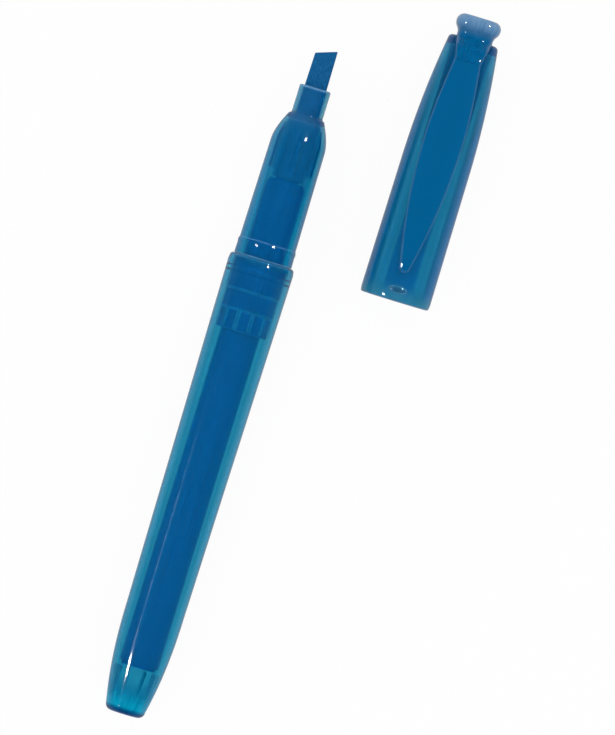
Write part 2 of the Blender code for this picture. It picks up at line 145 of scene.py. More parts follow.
def run(curve: Curve, start: float, end: float, rows: int = ROWS) -> np.ndarray:
    """Outline rows of station and radius along a curve, at even stations."""
    stations = np.linspace(start, end, rows)
    return np.column_stack((stations, curve(stations)))


def arc(
    station: float, radius: float, size: float, start: float, end: float, rows: int = ARC_ROWS
) -> np.ndarray:
    """Outline rows on a circle: its centre plus its size times the cosine and sine of degrees."""
    turn = np.radians(np.linspace(start, end, rows))
    return np.column_stack((station + size * np.cos(turn), radius + size * np.sin(turn)))


def softened(outline: np.ndarray, size: float) -> np.ndarray:
    """Round an open outline's corners with a parabola through points cut back along both sides.

    A corner that hardly turns keeps one row.

    Args:
        outline: Rows of station and radius.
        size: How far a corner is cut back, unless a side is too short for it.

    Returns:
        More rows of station and radius.
    """
    corner = outline[1:-1, None]
    back, ahead = outline[:-2, None] - corner, outline[2:, None] - corner
    lengths = [np.linalg.norm(side, axis=2, keepdims=True) + TINY for side in (back, ahead)]
    cut = np.minimum(size, CUT_SHARE * np.minimum(*lengths))
    share = np.linspace(0, 1, CORNER_ROWS)[None, :, None]
    pull = (1 - share) ** 2 * back / lengths[0] + share**2 * ahead / lengths[1]
    straight = -np.sum(back * ahead, axis=2) / (lengths[0] * lengths[1])[:, 0]
    kept = (straight < math.cos(SMOOTH_TURN)) | (np.arange(CORNER_ROWS) == CORNER_ROWS // 2)
    return np.vstack((outline[:1], (corner + cut * pull)[kept], outline[-1:]))


def corners(outline: np.ndarray) -> np.ndarray:
    """How sharply an outline turns at each row, as the weight of a painted highlight: 0 up to the first
    corner turn, rising to 1 at the second.

    Args:
        outline: Rows of station and radius.

    Returns:
        One weight for each row and column.
    """
    step = np.diff(outline, axis=0)
    turn = np.degrees(np.abs(np.diff(np.unwrap(np.arctan2(step[:, 1], step[:, 0])))))
    return np.repeat(np.pad(np.interp(turn, CORNER_TURNS, (0, 1)), 1)[:, None], COLUMNS, axis=1)


def sides(
    across: np.ndarray, half_width: np.ndarray, width: float = 0.28 * MM, ramp: float = 0.4
) -> np.ndarray:
    """Weights of a strip along a plate's sides, where a painted highlight goes: a straight ramp up from the
    strip's inner edge to 1.
    """
    return np.clip((np.abs(across) - half_width[:, None] + width) / (ramp * width), 0, 1)


def ribs(count: int, thickness: float, radius: float, offset: float) -> tuple[np.ndarray, np.ndarray]:
    """Where ribs stand round an axis, from the distance along the round to the nearest rib's middle.

    Args:
        count: How many ribs.
        thickness: Of one rib.
        radius: Where its thickness is measured.
        offset: Turn of the first rib, as a share of the spacing.

    Returns:
        Weights by column: 1 on a rib, with a straight ramp at each side, and 1 where a rib's side stands, for
            a painted highlight.
    """
    soft, side = 0.1 * MM, 0.09 * MM
    pitch = 2 * np.pi / count
    apart = np.abs((round_angles(COLUMNS) / pitch - offset + 0.5) % 1 - 0.5) * pitch * radius
    return np.clip((thickness / 2 + soft - apart) / soft, 0, 1), np.abs(apart - thickness / 2) < side


def rounded_box(
    half_width: np.ndarray, base: np.ndarray, top: np.ndarray, power: float | np.ndarray
) -> tuple[np.ndarray, np.ndarray]:
    """Superellipses: across and up go as the sine and the cosine, each raised to 2 over the power.

    Args:
        half_width: One for each row.
        base: Lowest height of each row.
        top: Highest height of each row.
        power: 2 gives an ellipse, more gives a squarer section; one for all rows or one for each.

    Returns:
        Distances across and heights, by row and column.
    """
    angles = round_angles(PLATE_COLUMNS) + np.pi / PLATE_COLUMNS
    flatness = 2 / np.broadcast_to(power, half_width.shape)[:, None]
    across, up = (np.sign(f) * np.abs(f) ** flatness for f in (np.sin(angles), np.cos(angles)))
    middle, half = (top + base) / 2, (top - base) / 2
    return half_width[:, None] * across, middle[:, None] + half[:, None] * up


def skin(name: str, rings: np.ndarray, ends: Ends, rim: np.ndarray | None = None) -> Piece:
    """A closed mesh through a grid of rings, turned outwards by the sign of the volume that it holds.

    Args:
        name: Of the object.
        rings: Points by row and column.
        ends: How its first and last row are closed.
        rim: Weights of the painted highlight on the edges, by row and column.

    Returns:
        A smooth-shaded object, sharp at its hard edges.
    """
    rows, columns, _ = rings.shape
    points = rings.reshape(-1, 3)
    index = np.arange(rows * columns).reshape(rows, columns)
    near = (index, np.roll(index, -1, axis=1))
    far = [np.roll(row, -1, axis=0) for row in near]
    quads = np.stack((near[0], near[1], far[1], far[0]), axis=-1)
    lids = []
    if ends is Ends.CAPPED:
        quads = quads[:-1]
        lids = [index[0, ::-1], index[-1]]
    quads = quads.reshape(-1, 4)
    a, b, c, d = (points[quads[:, corner]] - points.mean(axis=0) for corner in range(4))
    volume = np.sum(a * np.cross(b, c)) + np.sum(a * np.cross(c, d))
    order = 1 if volume > 0 else -1
    mesh = bpy.data.meshes.new(name)
    mesh.from_pydata(points, [], quads[:, ::order].tolist() + [lid[::order].tolist() for lid in lids])
    mesh.polygons.foreach_set("use_smooth", np.ones(len(mesh.polygons), bool))
    mesh.set_sharp_from_angle(angle=SHARP_ANGLE)
    weights = np.zeros(rows * columns) if rim is None else rim.ravel()
    mesh.attributes.new(PAINTED_HIGHLIGHT, "FLOAT", "POINT").data.foreach_set("value", weights.astype(np.float32))
    mesh.update()
    return linked(name, mesh)


def linked(name: str, data: bpy.types.ID) -> Piece:
    """Put something into the scene.

    Args:
        name: Of the object.
        data: Its mesh, light or camera.

    Returns:
        The object.
    """
    piece = bpy.data.objects.new(name, data)
    bpy.context.collection.objects.link(piece)
    return piece


def spun(name: str, axis: Axis, outline: np.ndarray, ends: Ends, rim: np.ndarray | None = None) -> Piece:
    """A skin with the same outline all round an axis."""
    return skin(name, axis.turned(outline[:, 0], full(outline)), ends, rim)


def full(outline: np.ndarray) -> np.ndarray:
    """An outline's radii, the same for every column."""
    return np.repeat(outline[:, 1:], COLUMNS, axis=1)


class Nodes:
    """A short way to write the nodes of a material or of the world."""

    def __init__(self, owner: bpy.types.Material | bpy.types.World) -> None:
        """Start with only the output.

        Args:
            owner: What the nodes belong to.
        """
        owner.use_nodes = True
        self.tree = owner.node_tree
        self.tree.nodes.clear()
        self.output = self.add("OutputWorld" if isinstance(owner, bpy.types.World) else "OutputMaterial")

    def add(self, kind: str, inputs: dict | None = None, **settings: object) -> bpy.types.Node:
        """Add a node.

        Args:
            kind: Its type, without ShaderNode.
            inputs: Values or sockets for its inputs, by name or number.
            settings: Values for its own settings.

        Returns:
            The node.
        """
        node = self.tree.nodes.new("ShaderNode" + kind)
        for setting, value in settings.items():
            setattr(node, setting, value)
        for socket, value in (inputs or {}).items():
            if isinstance(value, Socket):
                self.tree.links.new(value, node.inputs[socket])
            else:
                node.inputs[socket].default_value = value
        return node

    def put_out(self, shader: bpy.types.Node, socket: str = "Surface") -> None:
        """Lead a shader to the output."""
        self.tree.links.new(shader.outputs[0], self.output.inputs[socket])

    def reckon(self, operation: str, *values: Socket | float, clamp: bool = False) -> Socket:
        """The result of a Math node."""
        return self.add("Math", dict(enumerate(values)), operation=operation, use_clamp=clamp).outputs[0]

    def ranged(self, value: Socket, source: Span, target: Span = (0, 1), smooth: bool = False) -> Socket:
        """Carry a value from one range to another.

        Args:
            value: What is carried.
            source: Range that it comes from.
            target: Range of the result.
            smooth: Whether the result eases in and out.

        Returns:
            The result.
        """
        limits = dict(zip(("From Min", "From Max", "To Min", "To Max"), (*source, *target)))
        kind = "SMOOTHSTEP" if smooth else "LINEAR"
        return self.add("MapRange", {"Value": value} | limits, interpolation_type=kind).outputs[0]

    def noise(self, scale: float, detail: float, stretch: Point = (1, 1, 1)) -> Socket:
        """Noise in the object's own space.

        Args:
            scale: Bumps in a metre.
            detail: Octaves.
            stretch: Scale along x, y and z.

        Returns:
            Its value.
        """
        place = self.add("TexCoord").outputs["Object"]
        spread = self.add("Mapping", {"Vector": place, "Scale": stretch}).outputs[0]
        return self.add("TexNoise", {"Vector": spread, "Scale": scale, "Detail": detail}).outputs[0]

    def ramp(self, noise: Socket, low: float, high: float) -> Socket:
        """Stretch a noise over two levels."""
        return self.ranged(noise, NOISE_RANGE, (low, high))

    def level(self, value: Socket | float, share: Socket, end: Socket | float) -> Socket:
        """Move a value towards an end level by a share."""
        return self.add("Mix", {"Factor": share, "A": value, "B": end}).outputs["Result"]

    def blend(self, share: Socket, low: Colour | Socket, high: Colour) -> Socket:
        """Blend two colours.

        Args:
            share: Of the second colour.
            low: First colour.
            high: Second colour.

        Returns:
            The colour.
        """
        start = low if isinstance(low, Socket) else (*low, 1)
        inputs = {"Factor": share, "A": start, "B": (*high, 1)}
        return self.add("Mix", inputs, data_type="RGBA").outputs["Result"]

    def place(self, letter: str, kind: str = "Object") -> Socket:
        """One coordinate of a point."""
        return self.add("SeparateXYZ", {0: self.add("TexCoord").outputs[kind]}).outputs[letter]

    def along(self, start: float, end: float) -> Socket:
        """How far a point has come between two places along y."""
        return self.ranged(self.place("Y"), (start, end), smooth=True)

    def beside(self, middle: float, near: float, far: float, soft: float = 0.15 * MM) -> Socket:
        """Where a point isn't in a stripe on either side of a place along x.

        Args:
            middle: The place.
            near: Distance from it where a stripe starts.
            far: Distance where the stripe ends.
            soft: Half the width of its edges.

        Returns:
            1 outside the stripes and 0 in them.
        """
        away = self.reckon("ABSOLUTE", self.reckon("SUBTRACT", self.place("X"), middle))
        inner = self.ranged(away, (near + soft, near - soft))
        return self.reckon("MAXIMUM", inner, self.ranged(away, (far - soft, far + soft)))

    def bump(self, height: Socket, strength: float, depth: float) -> Socket:
        """A normal bent by a height from 0 to 1, whose full depth is in metres."""
        return self.add("Bump", {"Height": height, "Strength": strength, "Distance": depth}).outputs[0]

    def mirrored(self) -> Socket:
        """1 for a ray that was reflected, 0 for the rest: glossy rays, less those that passed through."""
        path = self.add("LightPath").outputs
        return self.reckon("SUBTRACT", path["Is Glossy Ray"], path["Is Transmission Ray"], clamp=True)


@dataclass(frozen=True)
class ClearPlastic:
    """See-through tinted plastic: glass that absorbs colour, with a share of haze that scatters.

    The haze is streaked along y, paled by a painted highlight at weighted edges, can whiten along y, and can
    be darkened by painted shade outside two stripes.

    Args:
        name: Of the material.
        share: Share of haze at each face.
        haze: Colour of the haze.
        tint: Colour that the body lets through.
        density: Absorption per metre.
        streak: How much the share of haze varies along streaks, as a share of itself.
        cloud: How much the haze darkens in clouds.
        edge: Colour of the haze at edges, paled as a painted highlight.
        edge_highlight_share: Share of haze there.
        pale: Colour of the haze where it whitens; on the cap's head it is a painted reflection.
        pale_share: Share of haze there.
        pale_span: Where along y it starts to whiten and where it has, if it does.
        pale_stop: Where along y it is clear again and where it starts to be, if it is.
        shade_band_middle: The x down which a band of painted shade runs, with clearer stripes beside it, if
            there are any.
        stripes: Nearest and farthest distance of a clear stripe from there.
        shade_band_share: Share of haze outside the stripes, which paints shade there.
    """

    name: str
    share: float = 0.2
    haze: Colour = (0.0, 0.115, 0.31)
    tint: Colour = (0.0, 0.83, 0.915)
    density: float = 1850.0
    streak: float = 0.12
    cloud: float = 0.07
    edge: Colour = (0.06, 0.22, 0.46)
    edge_highlight_share: float = 0.55
    pale: Colour = (0.14, 0.26, 0.43)
    pale_share: float = 0.9
    pale_span: Span | None = None
    pale_stop: Span | None = None
    shade_band_middle: float | None = None
    stripes: Span = (2.75 * MM, 5.2 * MM)
    shade_band_share: float = 0.55

    REFRACTION = 1.49
    ROUGHNESS = (0.06, 0.09)
    STREAK_SCALE = 1900.0
    STREAK_STRETCH = (1, 0.012, 1)
    CLOUD_SCALE = 260.0
    DETAIL = 3.0
    LEAST_PALE = 0.7
    RIPPLE_SCALE = 420.0
    RIPPLE_DETAIL = 2.0
    RIPPLE = 0.02
    RIPPLE_DEPTH = 0.1 * MM

    def material(self) -> bpy.types.Material:
        """Make the material.

        Returns:
            A new material.
        """
        material = bpy.data.materials.new(self.name)
        nodes = Nodes(material)
        streaks = nodes.noise(self.STREAK_SCALE, self.DETAIL, self.STREAK_STRETCH)
        cloud = nodes.ramp(nodes.noise(self.CLOUD_SCALE, self.DETAIL), 0, 1)
        # painted highlight: the mesh's edge weights, used below to pale the haze and raise its share
        rim = nodes.add("Attribute", attribute_name=PAINTED_HIGHLIGHT).outputs["Fac"]
        colour = nodes.blend(cloud, tuple((1 - self.cloud) * channel for channel in self.haze), self.haze)
        share = nodes.ramp(streaks, (1 - self.streak) * self.share, (1 + self.streak) * self.share)
        # painted shade: more haze, a darker blue, down the middle round the given x and at the outer edges,
        # leaving clearer stripes between
        if self.shade_band_middle is not None:
            share = nodes.level(share, nodes.beside(self.shade_band_middle, *self.stripes), self.shade_band_share)
        if self.pale_span is not None:
            patchy = nodes.ramp(streaks, self.LEAST_PALE, 1.0)
            whiter = nodes.reckon("MULTIPLY", nodes.along(*self.pale_span), patchy)
            if self.pale_stop is not None:
                whiter = nodes.reckon("MULTIPLY", whiter, nodes.along(*self.pale_stop))
            colour = nodes.blend(whiter, colour, self.pale)
            share = nodes.level(share, whiter, self.pale_share)
        ripples = nodes.noise(self.RIPPLE_SCALE, self.RIPPLE_DETAIL)
        look = {
            "Roughness": nodes.ramp(streaks, *self.ROUGHNESS),
            "IOR": self.REFRACTION,
            "Normal": nodes.bump(ripples, self.RIPPLE, self.RIPPLE_DEPTH),
        }
        glass = nodes.add("BsdfPrincipled", {"Base Color": WHITE, "Transmission Weight": 1.0} | look)
        # painted highlight at weighted edges: a paler haze colour and a larger share of haze
        haze = nodes.add("BsdfPrincipled", {"Base Color": nodes.blend(rim, colour, self.edge)} | look)
        share = nodes.level(share, rim, self.edge_highlight_share)
        nodes.put_out(nodes.add("MixShader", {0: share, 1: glass.outputs[0], 2: haze.outputs[0]}))
        body = nodes.add("VolumeAbsorption", {"Color": (*self.tint, 1), "Density": self.density})
        nodes.put_out(body, "Volume")
        return material


@dataclass(frozen=True)
class Felt:
    """Fibres soaked in ink: matt, with a fine grain along the pen.

    Args:
        name: Of the material.
        ink: Main colour.
        dark: Colour between fibres.
        grain: Fibres in a metre.
        relief: Height of the grain.
    """

    name: str
    ink: Colour
    dark: Colour
    grain: float
    relief: float

    STRETCH = (1, 0.22, 1)
    DETAIL = 4.0
    ROUGHNESS = 0.85
    BUMP = 0.7

    def material(self) -> bpy.types.Material:
        """Make the material.

        Returns:
            A new material.
        """
        material = bpy.data.materials.new(self.name)
        nodes = Nodes(material)
        fibres = nodes.noise(self.grain, self.DETAIL, self.STRETCH)
        look = {
            "Base Color": nodes.blend(nodes.ramp(fibres, 0, 1), self.dark, self.ink),
            "Roughness": self.ROUGHNESS,
            "Specular IOR Level": 0.0,
            "Normal": nodes.bump(fibres, self.BUMP, self.relief),
        }
        nodes.put_out(nodes.add("BsdfPrincipled", look))
        return material


@dataclass
class Assembly(ABC):
    """Pieces that are built and dressed together.

    Args:
        axis: The axis that they stand on.
    """

    axis: Axis

    @abstractmethod
    def make(self) -> list[Piece]:
        """Build the pieces and dress them."""

    def dress(self, piece: Piece, finish: ClearPlastic | Felt, body: Body, node: str, slot: str) -> Piece:
        """Give a piece its finish and its body, and hide the CAD node that it stands for.

        Args:
            piece: The piece.
            finish: Its finish.
            body: The CAD body that it rides on.
            node: The CAD node.
            slot: The record's material slot; not used.

        Returns:
            The piece.
        """
        piece.data.materials.append(finish.material())
        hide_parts(node)
        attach(piece, body.value)
        return piece


@dataclass
class Barrel(Assembly):
    """The tapered tube with a closed, ribbed tail."""

    length: float = 86.2 * MM
    mouth_radius: float = 6.15 * MM
    wall: float = 0.9 * MM
    rim: float = 0.6 * MM
    rim_dip: float = 0.1 * MM
    rim_dip_length: float = 0.6 * MM
    tail_length: float = 20.0 * MM
    tail_radius: float = 5.42 * MM
    tail_end: float = 3.72 * MM
    tail_corner: float = 1.3 * MM
    tail_power: float = 2.3
    floor: float = 2.0 * MM
    rib_count: int = 8
    rib_thickness: float = 0.25 * MM
    rib_bore: float = 3.1 * MM
    rib_middle: float = 3.4 * MM
    rib_front: float = 8.5 * MM
    rib_highlight: float = 0.6
    groove_station: float = 83.5 * MM
    groove_width: float = 1.2 * MM
    groove_depth: float = 0.1 * MM
    groove_round: float = 0.1 * MM
    groove_lead: float = 0.1 * MM
    pale_tail: Span = (7.0 * MM, 1.0 * MM)
    clear_floor: Span = (0.4 * MM, 1.5 * MM)

    def make(self) -> list[Piece]:
        """Build the tube in clear blue that is paler in its tail, down to the floor.

        Returns:
            The tube.
        """
        finish = ClearPlastic(
            "barrel_blue",
            haze=(0.0, 0.14, 0.4),
            streak=0.4,
            # edge: a painted highlight on the barrel's sharp edges and rib sides
            edge=(0.15, 0.42, 0.6),
            edge_highlight_share=0.6,
            pale=(0.0, 0.46, 0.69),
            pale_share=0.8,
            pale_span=self.axis.span(*self.pale_tail),
            pale_stop=self.axis.span(*self.clear_floor),
        )
        return [self.dress(self.build(), finish, Body.PEN, "barrel", "barrel")]

    def skin(self, stations: np.ndarray) -> np.ndarray:
        """Outer radius: a taper, less a power of the way into the tail and a squared sine at the rim.

        Args:
            stations: Along the barrel.

        Returns:
            Radii.
        """
        taper = part(stations, self.tail_length, self.length)
        into = part(stations, self.tail_length, self.tail_corner)
        straight = self.tail_radius + (self.mouth_radius - self.tail_radius) * taper
        edge = self.length - self.rim
        dip = self.rim_dip * np.sin(np.pi / 2 * part(stations, edge - self.rim_dip_length, edge)) ** 2
        return straight - dip - (self.tail_radius - self.tail_end) * into**self.tail_power

    def bore(self, stations: np.ndarray) -> np.ndarray:
        """Inner radius, one wall inside the skin."""
        return self.skin(stations) - self.wall

    def ring(self, base: Curve, height: float) -> np.ndarray:
        """Corners of a ring at the groove: a bead's trapezoid on a curve, as outline rows."""
        stations = self.groove_station + self.groove_width * BEAD[:, 0]
        return np.column_stack((stations, base(stations) + height * BEAD[:, 1]))

    def build(self) -> Piece:
        """Turn the outside, the rim, the bore with its groove, and the ribbed tail.

        Returns:
            The tube.
        """
        edge = self.length - self.rim
        end = self.tail_end - self.tail_corner
        groove = self.ring(self.bore, self.groove_depth)[::-1]
        before, behind = groove[0, 0] + self.groove_lead, groove[-1, 0] - self.groove_lead
        mouth = (
            run(self.bore, self.length, before, 2),
            groove,
            run(self.bore, behind, behind - self.groove_lead, 2),
        )
        plain = np.vstack([
            [[0, POLE]],
            arc(self.tail_corner, end, self.tail_corner, 180, 90, SMOOTH_ARC_ROWS),
            run(self.skin, self.tail_corner, self.tail_length)[1:],
            run(self.skin, self.tail_length, edge - self.rim_dip_length)[1:],
            run(self.skin, edge - self.rim_dip_length, edge)[1:],
            arc(edge, at(self.skin, edge) - self.rim, self.rim, 90, 0)[1:],
            softened(np.vstack(mouth), self.groove_round),
            run(self.bore, behind - 2 * self.groove_lead, self.tail_length),
            run(self.bore, self.tail_length, self.rib_front)[1:],
        ])
        tail = np.vstack((run(self.bore, self.rib_front - JUMP, self.floor), [[self.floor, POLE]]))
        depth = np.maximum(tail[:, 1:] - self.rib_bore, 0)
        on_rib, rib_side = ribs(self.rib_count, self.rib_thickness, self.rib_middle, offset=0.5)
        whole = np.vstack((plain, tail))
        radii = np.vstack((full(plain), tail[:, 1:] - depth * on_rib))
        rim = corners(whole)
        # painted highlight lines along the sides of the tail's ribs
        rim[len(plain) :] = np.maximum(rim[len(plain) :], self.rib_highlight * rib_side * (depth > 0))
        return skin("barrel_tube", self.axis.turned(whole[:, 0], radii), Ends.CAPPED, rim)


@dataclass
class Nose(Assembly):
    """The writing end in one moulding: ribbed plug, collar, body, shoulder, neck and nib tube."""

    barrel: Barrel
    fit: float = 0.08 * MM
    plug_end: float = 72.5 * MM
    ribbed_end: float = 76.3 * MM
    step_station: float = 79.9 * MM
    step: float = 0.15 * MM
    tail_step: float = 0.3 * MM
    tail_land: float = 0.1 * MM
    rib_count: int = 12
    rib_height: float = 0.2 * MM
    rib_thickness: float = 0.45 * MM
    rib_middle: float = 4.72 * MM
    rib_setback: float = 0.2 * MM
    bead_height: float = 0.12 * MM
    bore: float = 4.0 * MM
    seat_gap: float = 0.04 * MM
    collar_radius: float = 5.45 * MM
    collar_end: float = 89.3 * MM
    collar_taper: float = 0.1 * MM
    collar_bead: float = 0.09 * MM
    collar_bead_length: float = 1.1 * MM
    collar_lead: float = 0.5 * MM
    collar_foot: float = 0.3 * MM
    draft: float = 0.18 * MM
    wall: float = 1.1 * MM
    radius: float = 5.1 * MM
    shoulder_start: float = 108.2 * MM
    shoulder_front: float = 113.5 * MM
    shoulder_end: float = 3.3154 * MM
    shoulder_power: float = 1.55
    neck_radius: float = 2.9154 * MM
    neck_end: float = 119.0 * MM
    neck_round: float = 0.3 * MM
    nib_bore: float = 2.4754 * MM
    guard: float = 0.7 * MM
    tube_radius: float = 2.9754 * MM
    tube_end: float = 101.5 * MM
    tube_highlight: float = 0.4
    chamber_front: float = 112.4 * MM
    front_wall: float = 0.75 * MM
    fin_count: int = 6
    fin_thickness: float = 0.24 * MM
    fin_bore: float = 3.45 * MM
    fin_middle: float = 3.5 * MM
    fin_back: float = 103.0 * MM
    fin_highlight: float = 0.35
    round: float = 0.22 * MM
    lip_inset: float = 0.05 * MM
    ring_guard: float = 0.4 * MM
    ring_width: float = 0.3 * MM
    # weights of painted highlights on the rings, the collar's end and the lip, and of painted light on the
    # shaded solid part of the shoulder
    ring_highlight: float = 0.8
    collar_highlight: float = 0.2
    solid_painted_light: float = 0.12
    lip_highlight: float = 0.5
    plug_fade: float = 0.2 * MM

    def make(self) -> list[Piece]:
        """Build the moulding in clear blue, with more haze in the plug.

        Returns:
            The moulding.
        """
        rim = self.barrel.length
        finish = ClearPlastic(
            "nose_blue",
            share=0.32,
            streak=0.3,
            haze=(0.0, 0.162, 0.47),
            density=1300.0,
            # edge: a painted highlight on the moulding's steps, edges, ribs and fins
            edge=(0.32, 0.62, 0.9),
            edge_highlight_share=0.85,
            pale=(0.0, 0.27, 0.76),
            pale_share=0.7,
            pale_span=self.axis.span(rim + self.plug_fade, rim - self.plug_fade),
        )
        return [self.dress(self.build(), finish, Body.PEN, "nose_section", "nose_section")]

    def skin(self, stations: np.ndarray) -> np.ndarray:
        """Outer radius: a slight draft, then a power of the distance into the shoulder.

        Args:
            stations: Along the pen.

        Returns:
            Radii.
        """
        draft = part(stations, self.shoulder_start, self.collar_end)
        into = part(stations, self.shoulder_start, self.shoulder_front)
        fall = (self.radius - self.shoulder_end) * into**self.shoulder_power
        return self.radius + self.draft * draft - fall

    def plug(self, stations: np.ndarray) -> np.ndarray:
        """The plug's outer radius, a clearance inside the barrel's bore."""
        return self.barrel.bore(stations) - self.fit

    def chamber(self, stations: np.ndarray) -> np.ndarray:
        """The chamber's radius: a wall inside the skin that thins evenly along the shoulder."""
        wall = np.interp(stations, (self.shoulder_start, self.chamber_front), (self.wall, self.front_wall))
        return np.minimum(self.skin(stations) - wall, self.bore)

    def collar(self, stations: np.ndarray) -> np.ndarray:
        """The collar's outer radius: a slight taper, plus the square of a sine over the bead.

        Args:
            stations: Along the pen.

        Returns:
            Radii.
        """
        back = self.collar_end - self.collar_bead_length
        taper = part(stations, self.barrel.length, self.collar_end)
        bead = np.sin(np.pi * part(stations, back, self.collar_end)) ** 2
        return self.collar_radius - self.collar_taper * taper + self.collar_bead * bead

    def steps(self) -> tuple[float, ...]:
        """Stations of the plug's steps: its tail end, the end of its ribs and the start of its front."""
        return self.plug_end, self.ribbed_end, self.step_station

    def plug_outline(self) -> np.ndarray:
        """The plug, from its tail over two steps and the bead to the collar's seat.

        Rows stand beside each step, so that only the step itself gathers light.

        Returns:
            Rows of station and radius.
        """
        tail, front = at(self.plug, self.plug_end) - self.tail_step, at(self.plug, self.step_station)
        levels = (self.bore + self.tail_land, tail, front - self.step, front)
        steps = [
            [step + shift, levels[number + past]]
            for number, step in enumerate(self.steps())
            for shift, past in ((-self.ring_guard, 0), (0, 0), (0, 1), (self.ring_guard, 1))
        ][1:]
        seat = self.barrel.length + self.seat_gap
        bead = self.barrel.ring(self.plug, self.bead_height)
        end = [[seat, at(self.plug, self.barrel.length)], [seat, self.collar_radius]]
        return np.vstack((steps, bead, end))

    def front_outline(self) -> np.ndarray:
        """The collar, the body, the shoulder, the neck with its bore, and the nib tube's end.

        Returns:
            Rows of station and radius.
        """
        shoulder, foot = self.shoulder_front, self.shoulder_end - self.neck_radius
        body = self.collar_end + self.collar_foot
        lip = self.neck_end - self.neck_round
        bead = self.collar_end - self.collar_bead_length - self.collar_lead
        bore = (self.neck_end, shoulder + self.guard, shoulder, self.chamber_front)
        return np.vstack([
            run(self.collar, bead, self.collar_end),
            run(self.skin, self.collar_end, body, 2),
            run(self.skin, body + self.guard, shoulder),
            arc(shoulder + foot, self.shoulder_end, foot, 180, 270)[1:],
            [[lip - self.neck_round, self.neck_radius]],
            arc(lip, self.neck_radius - self.neck_round, self.neck_round, 90, 0),
            [[station, self.nib_bore] for station in (*bore, self.chamber_front - self.guard)],
            [[self.tube_end, self.nib_bore], [self.tube_end, self.tube_radius]],
        ])

    def painted_highlights(self, outside: np.ndarray) -> np.ndarray:
        """Weights of the painted highlights on the plug's steps, the collar's end and the lip, and of painted
        light on the solid part of the shoulder.

        Args:
            outside: Rows of station and radius.

        Returns:
            One weight for each row.
        """
        station, radius = outside[:, :1], outside[:, 1:]
        ring = np.abs(station - np.array(self.steps())).min(axis=1, keepdims=True) < self.ring_width / 2
        collar = np.abs(station - self.collar_end) < self.ring_width / 2
        lip = (station > self.neck_end - self.neck_round) & (radius > self.nib_bore + self.lip_inset)
        # painted light: the solid ring inside the shoulder, which lies in shade, gets the paler edge colour
        solid = (station > self.chamber_front - self.round) & (station < self.shoulder_front + self.round)
        edges = (self.ring_highlight * ring, self.collar_highlight * collar, self.lip_highlight * lip)
        return np.maximum.reduce((*edges, self.solid_painted_light * solid))

    def build(self) -> Piece:
        """Turn the outside with its plug ribs, then the chamber with its fins.

        Returns:
            The moulding.
        """
        outside = softened(np.vstack((self.plug_outline(), self.front_outline())), self.round)
        finned = run(self.chamber, self.chamber_front, self.fin_back)
        behind = run(self.chamber, self.fin_back - JUMP, self.collar_end)
        chamber = np.vstack((finned, behind, [[self.plug_end, self.bore]]))
        back, front = self.plug_end + self.rib_setback, self.ribbed_end
        ribbed = (outside[:, :1] > back) & (outside[:, :1] < front)
        on_rib, rib_side = ribs(self.rib_count, self.rib_thickness, self.rib_middle, offset=0.5)
        depth = np.maximum(chamber[:, 1:] - self.fin_bore, 0) * (chamber[:, :1] >= self.fin_back)
        on_fin, fin_side = ribs(self.fin_count, self.fin_thickness, self.fin_middle, offset=0.0)
        whole = np.vstack((outside, chamber))
        outer, inner = outside[:, 1:] + self.rib_height * ribbed * on_rib, chamber[:, 1:] - depth * on_fin
        radii = np.vstack((outer, inner))
        # painted highlights along the plug ribs' sides, the fins' sides and the nib tube's end
        painted_highlights = np.maximum(self.painted_highlights(outside), ribbed * rib_side), self.fin_highlight * (depth > 0) * fin_side
        rim = np.maximum(corners(whole), np.vstack(painted_highlights))
        rim[len(outside) - 1 : len(outside) + 1] = self.tube_highlight
        return skin("nose_moulding", self.axis.turned(whole[:, 0], radii), Ends.JOINED, rim)


@dataclass
class Nib(Assembly):
    """The felt chisel: a tail in the reservoir, a flat shank and a wedge cut off at a slant."""

    width: float = 4.1 * MM
    thickness: float = 2.4 * MM
    tail_start: float = 96.2 * MM
    shank_start: float = 101.5 * MM
    wedge_start: float = 119.0 * MM
    end: float = 126.5 * MM
    slant: float = 1.4 * MM
    edge: float = 1.1 * MM
    taper: float = 0.2 * MM
    tail_share: float = 0.5
    worn: float = 0.22 * MM
    worn_turn: float = math.radians(88)
    power: float = 7.0

    def make(self) -> list[Piece]:
        """Build the nib in inked felt.

        Returns:
            The nib.
        """
        ink, dark = (0.014, 0.14, 0.345), (0.005, 0.08, 0.225)
        finish = Felt("nib_felt", ink, dark, grain=6500.0, relief=0.12 * MM)
        return [self.dress(self.build(), finish, Body.PEN, "nib", "nib")]

    def build(self) -> Piece:
        """Loft rounded boxes; the wedge's stations fall back with the distance from its longer side.

        Returns:
            The nib.
        """
        worn = np.linspace(0, self.worn_turn, TURN_ROWS)[1:]
        shank = np.linspace(self.tail_start, self.wedge_start, ROWS)
        wedge = np.linspace(self.wedge_start, self.end - self.worn, ROWS)[1:]
        stations = np.concatenate((shank, wedge, self.end - self.worn * (1 - np.sin(worn))))
        inset = np.concatenate((np.zeros(len(shank) + len(wedge)), self.worn * (1 - np.cos(worn))))
        marks = (self.tail_start, self.shank_start, self.wedge_start, self.end)
        half, thin = self.width / 2, self.thickness / 2
        wide = np.interp(stations, marks, (half * self.tail_share, half, half, half - self.taper / 2)) - inset
        thick = np.interp(stations, marks, (thin * self.tail_share, thin, thin, self.edge / 2)) - inset
        across, up = rounded_box(wide, -thick, thick, self.power)
        into = part(stations, self.wedge_start, self.end)
        along = stations[:, None] - self.slant * into[:, None] * (0.5 - across / self.width)
        return skin("felt_nib", self.axis.place(across, along, up), Ends.CAPPED)


